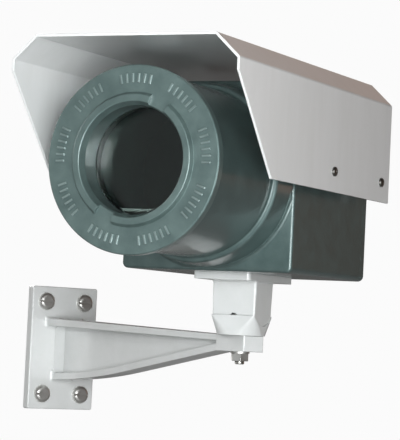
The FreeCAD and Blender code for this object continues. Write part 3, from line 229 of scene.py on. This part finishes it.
def powder_coat(name, plain, dusty, roughness, edge):
    """Polyester powder coat on folded sheet: flat and even.

    The eye gets a soft sheen, faint rain marks that run down the sheet, and bright cut edges.
    The orange peel is too fine to see at this size: it only blurs the coat's reflection.
    """
    rain_width, cloud_size = 28, 90
    # squeezed in height, so that each mark is five or six times as long as it is wide
    squeeze = 0.18
    material, tree, shader, place = new_material(name)
    upright = add_node(tree, "Mapping", {"Vector": place, "Scale": (1, 1, squeeze)})
    rain = add_node(tree, "TexNoise", {
        "Vector": upright.outputs["Vector"], "Scale": per(rain_width), "Detail": 5,
        "Roughness": 0.62})
    dust = add_node(
        tree, "ValToRGB", {"Fac": rain.outputs["Fac"]}, stops=((0.4, plain), (0.85, dusty)))
    cloud = add_node(tree, "TexNoise", {
        "Vector": place, "Scale": per(cloud_size), "Detail": 1})
    gloss = add_node(tree, "MapRange", {
        "Value": cloud.outputs["Fac"], "To Min": roughness - 0.05, "To Max": roughness + 0.1})
    rounded = add_node(tree, "Bevel", {"Radius": edge * MM}, samples=4)
    wire(tree, shader, {
        "Base Color": dust.outputs["Color"], "Roughness": gloss.outputs["Result"],
        "Normal": rounded.outputs["Normal"], "IOR": 1.5, "Coat Weight": 1,
        "Coat Roughness": 0.1})
    return material


def machined_metal(name, plain, worn, roughness, line, relief, metal=1):
    """Turned and drawn metal left bare: stainless steel, nickel plate or mill-finish aluminium.

    The eye gets sharp reflections broken by fine tool lines, and dull patches from handling.
    A blasted surface is less metallic, because its pits scatter light much as paint does.
    """
    patch, edge = 14, 0.3
    # each tool line is nine times as long as it is wide
    stretch = 9
    material, tree, shader, place = new_material(name)
    drawn = add_node(tree, "Mapping", {"Vector": place, "Scale": (1, 1, stretch)})
    lines = add_node(tree, "TexNoise", {
        "Vector": drawn.outputs["Vector"], "Scale": per(line * stretch), "Detail": 3,
        "Roughness": 0.6})
    patches = add_node(tree, "TexNoise", {
        "Vector": place, "Scale": per(patch), "Detail": 3}).outputs["Fac"]
    tone = add_node(tree, "ValToRGB", {"Fac": patches}, stops=((0.35, plain), (0.75, worn)))
    gloss = add_node(tree, "MapRange", {
        "Value": patches, "From Min": 0.3, "From Max": 0.7,
        "To Min": roughness - 0.04, "To Max": roughness + 0.1})
    rounded = add_node(tree, "Bevel", {"Radius": edge * MM}, samples=4)
    cuts = add_node(tree, "Bump", {
        "Height": lines.outputs["Fac"], "Strength": 1, "Distance": relief * MM,
        "Normal": rounded.outputs["Normal"]})
    wire(tree, shader, {
        "Base Color": tone.outputs["Color"], "Roughness": gloss.outputs["Result"],
        "Metallic": metal, "Normal": cuts.outputs["Normal"]})
    return material


def threaded_steel(name, pitch, depth):
    """A rolled thread in stainless steel, its bright crests and dark roots painted as colour
    bands.
    """
    material, tree, shader, place = new_material(name)
    crests = add_node(
        tree, "TexWave", {"Vector": place, "Scale": per(pitch) / WAVE_RADIANS},
        bands_direction="Z", wave_profile="TRI").outputs["Fac"]
    # painted highlight on the crests and painted shade in the roots
    tone = add_node(tree, "ValToRGB", {"Fac": crests}, stops=((0, "#5d5c58"), (1, "#cdccc6")))
    groove = add_node(tree, "Bump", {"Height": crests, "Strength": 1, "Distance": depth * MM})
    wire(tree, shader, {
        "Base Color": tone.outputs["Color"], "Roughness": 0.3, "Metallic": 1,
        "Normal": groove.outputs["Normal"]})
    return material


def safety_glass(name):
    """Toughened float glass, polished: clear, with a green cast and a thin film of dust."""
    dust_patch = 22
    material, tree, shader, place = new_material(name)
    film = add_node(tree, "TexNoise", {
        "Vector": place, "Scale": per(dust_patch), "Detail": 5, "Roughness": 0.65})
    haze = add_node(tree, "MapRange", {
        "Value": film.outputs["Fac"], "From Min": 0.45, "From Max": 0.75,
        "To Min": 0.01, "To Max": 0.05})
    wire(tree, shader, {
        "Base Color": linear("#dcebe6"), "Roughness": haze.outputs["Result"], "IOR": 1.52,
        "Transmission Weight": 1})
    return material


def moulded_rubber(name):
    """Moulded nitrile rubber: matt black with a grey bloom and a faint grain."""
    bloom_patch, pore, relief = 9, 0.8, 0.05
    material, tree, shader, place = new_material(name)
    bloom = add_node(tree, "TexNoise", {
        "Vector": place, "Scale": per(bloom_patch), "Detail": 4})
    tone = add_node(tree, "ValToRGB", {"Fac": bloom.outputs["Fac"]},
                    stops=((0, "#18191a"), (1, "#2d2f30")))
    grain = add_node(tree, "TexNoise", {"Vector": place, "Scale": per(pore), "Detail": 2})
    skin = add_node(tree, "Bump", {
        "Height": grain.outputs["Fac"], "Strength": 1, "Distance": relief * MM})
    wire(tree, shader, {
        "Base Color": tone.outputs["Color"], "Roughness": 0.72,
        "Normal": skin.outputs["Normal"]})
    return material


def moulded_plastic(name):
    """Injection-moulded polyamide: grey, satin, with a fine spark-eroded grain."""
    flow_patch, pit, relief = 12, 0.6, 0.04
    material, tree, shader, place = new_material(name)
    flow = add_node(tree, "TexNoise", {
        "Vector": place, "Scale": per(flow_patch), "Detail": 3})
    tone = add_node(tree, "ValToRGB", {"Fac": flow.outputs["Fac"]},
                    stops=((0, "#8b8f8c"), (1, "#9a9d99")))
    grain = add_node(tree, "TexNoise", {"Vector": place, "Scale": per(pit), "Detail": 2})
    skin = add_node(tree, "Bump", {
        "Height": grain.outputs["Fac"], "Strength": 1, "Distance": relief * MM})
    wire(tree, shader, {
        "Base Color": tone.outputs["Color"], "Roughness": 0.5,
        "Normal": skin.outputs["Normal"]})
    return material


def board_laminate(name):
    """Glass-filled epoxy board under green lacquer: glossy, with the weave just showing."""
    weave_step, track_step = 1.2, 7
    material, tree, shader, place = new_material(name)
    weave = add_node(tree, "TexChecker", {
        "Vector": place, "Scale": per(weave_step),
        "Color1": linear("#17502c"), "Color2": linear("#1b5a33")})
    tracks = add_node(
        tree, "TexVoronoi", {"Vector": place, "Scale": per(track_step)}, distance="MANHATTAN")
    copper = add_node(tree, "MapRange", {
        "Value": tracks.outputs["Distance"], "From Min": 0.2, "From Max": 0.25,
        "To Min": 0.5, "To Max": 0})
    colour = add_node(tree, "Mix", {
        "Factor": copper.outputs["Result"], "A": weave.outputs["Color"],
        "B": linear("#2f7a48")}, data_type="RGBA")
    wire(tree, shader, {
        "Base Color": colour.outputs["Result"], "Roughness": 0.3, "IOR": 1.55})
    return material


def studio_floor(name):
    """Opal sheet lit from below, as on a light table: pale, plain and faintly uneven."""
    cloud_size, seen_glow, cast_glow = 400, 0.84, 0.1
    material, tree, shader, place = new_material(name)
    cloud = add_node(tree, "TexNoise", {
        "Vector": place, "Scale": per(cloud_size), "Detail": 2})
    tone = add_node(tree, "ValToRGB", {"Fac": cloud.outputs["Fac"]},
                    stops=((0, "#616160"), (1, "#686867")))
    straight = add_node(tree, "LightPath").outputs["Is Camera Ray"]
    glow = add_node(tree, "MapRange", {
        "Value": straight, "To Min": cast_glow, "To Max": seen_glow})
    wire(tree, shader, {
        "Base Color": tone.outputs["Color"], "Roughness": 0.9,
        "Emission Color": linear("#ffffff"), "Emission Strength": glow.outputs["Result"]})
    return material


def make_finishes():
    """The finishes by material slot, and those of the pieces that have one of their own."""
    of_slot = {
        # its corner colour is lighter than the paint: a painted highlight in the inner corners
        # and creases
        "housing_paint": painted_casting(
            "grey_green_enamel", "#526664", "#617573", "#6c817e", patch=16, grain=2.6,
            relief=0.12, roughness=0.5, edge=2, flake=0.7, turned=BARREL_TURNED),
        # its corner colour is darker than the paint: painted shade in the inner corners
        "bracket_paint": painted_casting(
            "off_white_enamel", "#d6d9d7", "#dddfde", "#8f918e", patch=20, grain=2.4,
            relief=0.1, roughness=0.42, edge=0.8, flake=0),
        "shield_paint": powder_coat(
            "light_grey_powder_coat", "#eef0ef", "#e7e9e7", roughness=0.3, edge=0.5),
        "stainless": machined_metal(
            "turned_stainless_steel", "#dddcd8", "#c9c8c4", roughness=0.4, line=0.5,
            relief=0.002),
        "nickel_brass": machined_metal(
            "nickel_plated_brass", "#c9c2ae", "#b3a98f", roughness=0.22, line=0.6,
            relief=0.004),
        "bare_aluminium": machined_metal(
            "mill_finish_aluminium", "#d4d6d6", "#bfc2c3", roughness=0.34, line=0.7,
            relief=0.01),
        "safety_glass": safety_glass("toughened_glass"),
        "black_rubber": moulded_rubber("nitrile_rubber"),
        "board_laminate": board_laminate("epoxy_board"),
        "terminal_plastic": moulded_plastic("moulded_polyamide"),
    }
    of_piece = {
        # the body's enamel made a shade lighter, a painted highlight because its face looks at
        # the light, and darker in its corners as painted shade
        "front_cover": painted_casting(
            "grey_green_enamel_lit_cover", "#637876", "#738885", "#384644", patch=16, grain=2.6,
            relief=0.12, roughness=0.5, edge=0.9, flake=0.7, turned=COVER_TURNED),
        # paler than the cover's paint as a painted highlight on the raised bars, glossier, and
        # darker in their corners as painted shade
        "cover_marks": painted_casting(
            "painted_highlight_enamel", "#7f9290", "#93a6a3", "#4a5a58", patch=9, grain=1.8,
            relief=0.08, roughness=0.4, edge=0.4, flake=0.6),
        "clamp_bolt": threaded_steel("rolled_thread_steel", BOLT_THREAD_PITCH, depth=0.6),
        # grit-blasted, so its front edge shows white through the window
        "camera_sled": machined_metal(
            "blasted_aluminium", "#f0f1f1", "#e6e8e8", roughness=0.6, line=0.7, relief=0.01,
            metal=0.3),
        # out in the weather, dull and brown
        "shield_pan_screws": machined_metal(
            "weathered_stainless", "#6b6a66", "#474643", roughness=0.36, line=0.5,
            relief=0.004),
    }
    return of_slot, of_piece


def dress_frame(of_slot, of_piece):
    """Give every CAD node its finish."""
    for part in frame["record"]["subparts"]:
        finish = of_piece.get(part["node"], of_slot[part["material_slot"]])
        node = frame["nodes"][part["node"]]
        if not node.material_slots:
            node.data.materials.append(finish)
        for held in node.material_slots:
            held.material = finish


def nothing_selected():
    """Every operator acts on what is selected, so each piece starts from nothing."""
    if bpy.context.mode != "OBJECT":
        bpy.ops.object.mode_set(mode="OBJECT")
    bpy.ops.object.select_all(action="DESELECT")


def only_selected(*pieces):
    """Select these pieces and no others; the first is the active one."""
    nothing_selected()
    for piece in pieces:
        piece.select_set(True)
    bpy.context.view_layer.objects.active = pieces[0]


def merge_and_face_out():
    """Leave edit mode with what meets merged, and every face turned outwards."""
    bpy.ops.mesh.select_all(action="SELECT")
    bpy.ops.mesh.remove_doubles(threshold=1e-6)
    bpy.ops.mesh.normals_make_consistent(inside=False)
    bpy.ops.object.mode_set(mode="OBJECT")


def settle(piece, name, finish, body):
    """Name a finished piece, put its place into its mesh, and let it ride on a body."""
    only_selected(piece)
    piece.data.transform(HOUSING_PLACE @ piece.matrix_world)
    piece.matrix_world = Matrix.Identity(4)
    bpy.ops.object.mode_set(mode="EDIT")
    merge_and_face_out()
    piece.name = piece.data.name = name
    piece.data.materials.clear()
    piece.data.materials.append(finish)
    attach(piece, body)


def block(place, size, turn=0):
    """A block at its place and size, in millimetres, and its turn about Z, in degrees."""
    nothing_selected()
    bpy.ops.mesh.primitive_cube_add(size=1)
    made = bpy.context.object
    made.location = [value * MM for value in place]
    made.scale = [value * MM for value in size]
    made.rotation_euler.z = math.radians(turn)
    bpy.ops.object.transform_apply(location=True, rotation=True, scale=True)
    return made


def select_faces(piece, wanted):
    """Edit mode on this piece, with only the wanted faces selected."""
    only_selected(piece)
    bpy.ops.object.mode_set(mode="EDIT")
    bpy.ops.mesh.select_mode(type="FACE")
    bpy.ops.mesh.select_all(action="DESELECT")
    bpy.ops.object.mode_set(mode="OBJECT")
    for face in piece.data.polygons:
        face.select = bool(wanted(face))
    bpy.ops.object.mode_set(mode="EDIT")


def cut_with(piece, cutter, operation="DIFFERENCE"):
    """Take the cutter's shape out of the piece, or keep only what is inside; the cutter goes."""
    only_selected(piece)
    cut = piece.modifiers.new("cut", "BOOLEAN")
    cut.operation = operation
    cut.object = cutter
    bpy.ops.object.modifier_apply(modifier="cut")
    bpy.data.objects.remove(cutter)


def smooth(piece, angle):
    """Round shading, except over edges sharper than this angle."""
    only_selected(piece)
    bpy.ops.object.shade_smooth_by_angle(angle=math.radians(angle))


def joined_copies(pattern, places):
    """One object of the pattern at each place; the pattern itself goes."""
    made = []
    for place in places:
        copy = pattern.copy()
        copy.data = pattern.data.copy()
        bpy.context.scene.collection.objects.link(copy)
        copy.data.transform(place @ pattern.matrix_world)
        copy.matrix_world = Matrix.Identity(4)
        made.append(copy)
    bpy.data.objects.remove(pattern)
    only_selected(*made)
    bpy.ops.object.join()
    return made[0]


def cover_marks(finish):
    """Raised bars round the cover's face, in groups, cast with it: a plain grip pattern."""
    inner, outer, width, height, sunk, rounding = 72.5, 81.5, 2.2, 1.3, 0.4, 0.5
    groups, bars, pitch = 9, 6, 4.6
    bar = block((0, (sunk - height) / 2, (inner + outer) / 2),
                (width, height + sunk, outer - inner))
    select_faces(bar, lambda face: face.normal.y < -0.9)
    bpy.ops.mesh.bevel(offset=rounding * MM, segments=3, affect="EDGES")
    bpy.ops.object.mode_set(mode="OBJECT")
    angles = [
        group * 360 / groups + (number - (bars - 1) / 2) * pitch
        for group in range(groups) for number in range(bars)]
    marks = joined_copies(bar, [
        Matrix.Rotation(math.radians(angle), 4, "Y") for angle in angles])
    settle(marks, "cover_marks", finish, "cover")


def shield_pan_screws(finish):
    """The sunshield's four pan-head screws, with domed heads and a cross recess."""
    across, depths, up = 118.9, (211.9, 344.7), 8.7
    head, height, shank, length, chamfer, dome = 4.75, 2.8, 2.5, 32.6, 0.5, 1.5
    slot_width, slot_length, slot_depth, slot_taper, blade_height = 1.1, 5.2, 1.8, 0.55, 3.2
    first_turn, next_turn = 17, 31
    nothing_selected()
    bpy.ops.mesh.primitive_cylinder_add(
        vertices=48, radius=head * MM, depth=height * MM, location=(0, 0, height / 2 * MM))
    screw = bpy.context.object
    select_faces(screw, lambda face: face.normal.z < -0.9)
    bpy.ops.mesh.inset(thickness=(head - shank) * MM)
    bpy.ops.mesh.extrude_region_move(TRANSFORM_OT_translate={"value": (0, 0, -length * MM)})
    bpy.ops.mesh.bevel(offset=chamfer * MM, segments=1, affect="EDGES")
    select_faces(screw, lambda face: face.normal.z > 0.9)
    bpy.ops.mesh.bevel(offset=dome * MM, segments=5, affect="EDGES")
    bpy.ops.object.mode_set(mode="OBJECT")
    for turn in (0, 90):
        blade = block((0, 0, height - slot_depth + blade_height / 2),
                      (slot_width, slot_length, blade_height), turn)
        select_faces(blade, lambda face: face.normal.z < -0.9)
        bpy.ops.transform.resize(
            value=(slot_taper, slot_taper, 1), center_override=(0, 0, 0))
        bpy.ops.object.mode_set(mode="OBJECT")
        cut_with(screw, blade)
    places = []
    for side in (-1, 1):
        for number, depth in enumerate(depths):
            seat = Matrix.Translation((side * across * MM, depth * MM, up * MM))
            slack = Matrix.Rotation(math.radians(first_turn + next_turn * number), 4, "Z")
            places.append(seat @ Matrix.Rotation(math.radians(side * 90), 4, "Y") @ slack)
    screws = joined_copies(screw, places)
    settle(screws, "shield_pan_screws", finish, "housing")
    smooth(screws, angle=35)
    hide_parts("shield_screws")


def ring_of(profile, vertices=192):
    """A closed ring about the housing's axis, drawn out from one circle.

    The profile is a closed run of (radius, depth from the cover's face), without its last point.
    """
    nothing_selected()
    radius, depth = profile[0]
    bpy.ops.mesh.primitive_circle_add(
        vertices=vertices, radius=radius * MM, location=(0, depth * MM, 0),
        rotation=(math.pi / 2, 0, 0))
    bpy.ops.object.transform_apply(location=True, rotation=True, scale=True)
    ring = bpy.context.object
    bpy.ops.object.mode_set(mode="EDIT")
    bpy.ops.mesh.select_mode(type="VERT")
    bpy.ops.mesh.select_all(action="SELECT")
    for next_radius, next_depth in profile[1:] + profile[:1]:
        bpy.ops.mesh.extrude_region_move(
            TRANSFORM_OT_translate={"value": (0, (next_depth - depth) * MM, 0)})
        grow = next_radius / radius
        bpy.ops.transform.resize(
            value=(grow, 1, grow), center_override=(0, next_depth * MM, 0))
        radius, depth = next_radius, next_depth
    merge_and_face_out()
    return ring


def collar_root_fillet(finish):
    """The casting's hollow fillet where the collar runs into the box's front."""
    collar, size, face, sunk, steps = 93.3, 3, 172, 0.6, 8
    half_width, half_height = 91.6, 93.4
    hollow = [
        (collar + size * (1 - math.cos(turn)), face - size * (1 - math.sin(turn)))
        for turn in (math.radians(90 * step / steps) for step in range(steps + 1))]
    fillet = ring_of(hollow + [
        (collar + size, face + sunk), (collar - sunk, face + sunk), (collar - sunk, face - size)])
    front = block((0, face, 0), (2 * half_width, 4 * size, 2 * half_height))
    cut_with(fillet, front, "INTERSECT")
    settle(fillet, "collar_root_fillet", finish, "housing")
    smooth(fillet, angle=40)


def camera():
    """The photograph's view."""
    data = bpy.data.cameras.new("photo_camera")
    data.lens = CAMERA_LENS
    data.sensor_width = SENSOR_WIDTH
    data.clip_end = FARTHEST_SEEN
    view = bpy.data.objects.new("photo_camera", data)
    bpy.context.scene.collection.objects.link(view)
    look = Vector(CAMERA_LOOK).to_track_quat("-Z", "Y").to_matrix().to_4x4()
    roll = Matrix.Rotation(math.radians(CAMERA_ROLL), 4, "Z")
    view.matrix_world = Matrix.Translation(CAMERA_PLACE) @ look @ roll
    bpy.context.scene.camera = view


def soft_light(name, place, size, power, colour):
    """A soft box, so wide and so high, that points at the part's middle."""
    data = bpy.data.lights.new(name, "AREA")
    data.shape = "RECTANGLE"
    data.size, data.size_y = size
    data.energy = power
    data.color = linear(colour)[:3]
    light = bpy.data.objects.new(name, data)
    bpy.context.scene.collection.objects.link(light)
    light.location = place
    light.rotation_euler = (
        Vector(LIGHT_AIM) - Vector(place)).to_track_quat("-Z", "Y").to_euler()


def studio(floor_finish):
    """The pale floor, the soft lights, and a world that looks white and lights only a little."""
    bpy.ops.mesh.primitive_plane_add(size=FLOOR_SIZE, location=FLOOR_PLACE)
    floor = bpy.context.object
    floor.name = "floor"
    floor.data.materials.append(floor_finish)
    for light in LIGHTS:
        soft_light(*light)
    world = bpy.data.worlds.new("studio")
    bpy.context.scene.world = world
    world.use_nodes = True
    tree = world.node_tree
    tree.nodes.clear()
    seen = add_node(tree, "Background", {"Color": linear("#fbfbfb"), "Strength": 1})
    ambient = add_node(tree, "Background", {"Color": linear("#f6e2dc"), "Strength": 0.085})
    straight = add_node(tree, "LightPath").outputs["Is Camera Ray"]
    both = add_node(tree, "MixShader", {
        "Fac": straight, 1: ambient.outputs[0], 2: seen.outputs[0]})
    add_node(tree, "OutputWorld", {"Surface": both.outputs[0]})
    bpy.context.scene.view_settings.view_transform = "Standard"


of_slot, of_piece = make_finishes()
dress_frame(of_slot, of_piece)
cover_marks(of_piece["cover_marks"])
shield_pan_screws(of_piece["shield_pan_screws"])
collar_root_fillet(of_slot["housing_paint"])
camera()
studio(studio_floor("opal_floor"))
